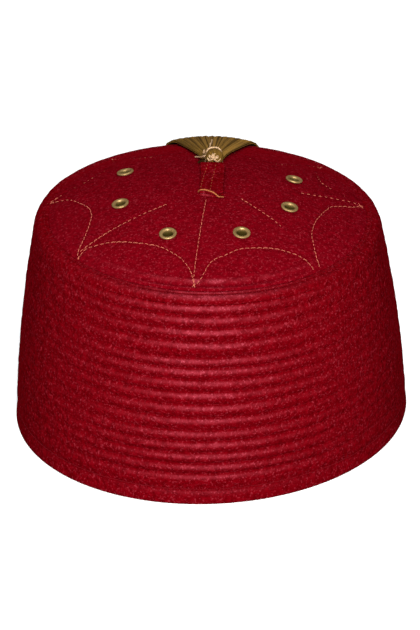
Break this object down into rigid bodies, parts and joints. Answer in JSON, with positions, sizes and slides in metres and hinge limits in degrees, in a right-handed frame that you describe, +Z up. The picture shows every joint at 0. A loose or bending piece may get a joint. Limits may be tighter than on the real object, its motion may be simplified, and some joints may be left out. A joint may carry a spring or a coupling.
{
  "type": "fez hat",
  "caption": "Red felt fez with a quilted side, a domed crown with gold star stitching and brass eyelets, and a gold tassel on a felt loop, laid back over the crown.",
  "frame": {"origin": "middle of the hat's base, on the surface it rests on", "axes": "+Z up, +Y to the back, where the tassel hangs, +X to the right as seen from the front"},
  "size_m": [0.1906, 0.1843, 0.1264],
  "materials": {
    "felt": "dense crimson wool felt",
    "brass": "antique brass, worn bright on the roll",
    "gold_cord": "metallic gold thread",
    "silk": "olive gold silk"
  },
  "bodies": {
    "root": {"side_band": "felt", "crown_top": "felt", "eyelet_1": "brass", "eyelet_2": "brass", "eyelet_3": "brass", "eyelet_4": "brass", "eyelet_5": "brass", "eyelet_6": "brass", "tassel_loop": "felt", "tassel_cord": "gold_cord", "tassel": "silk"}
  },
  "joints": []
}
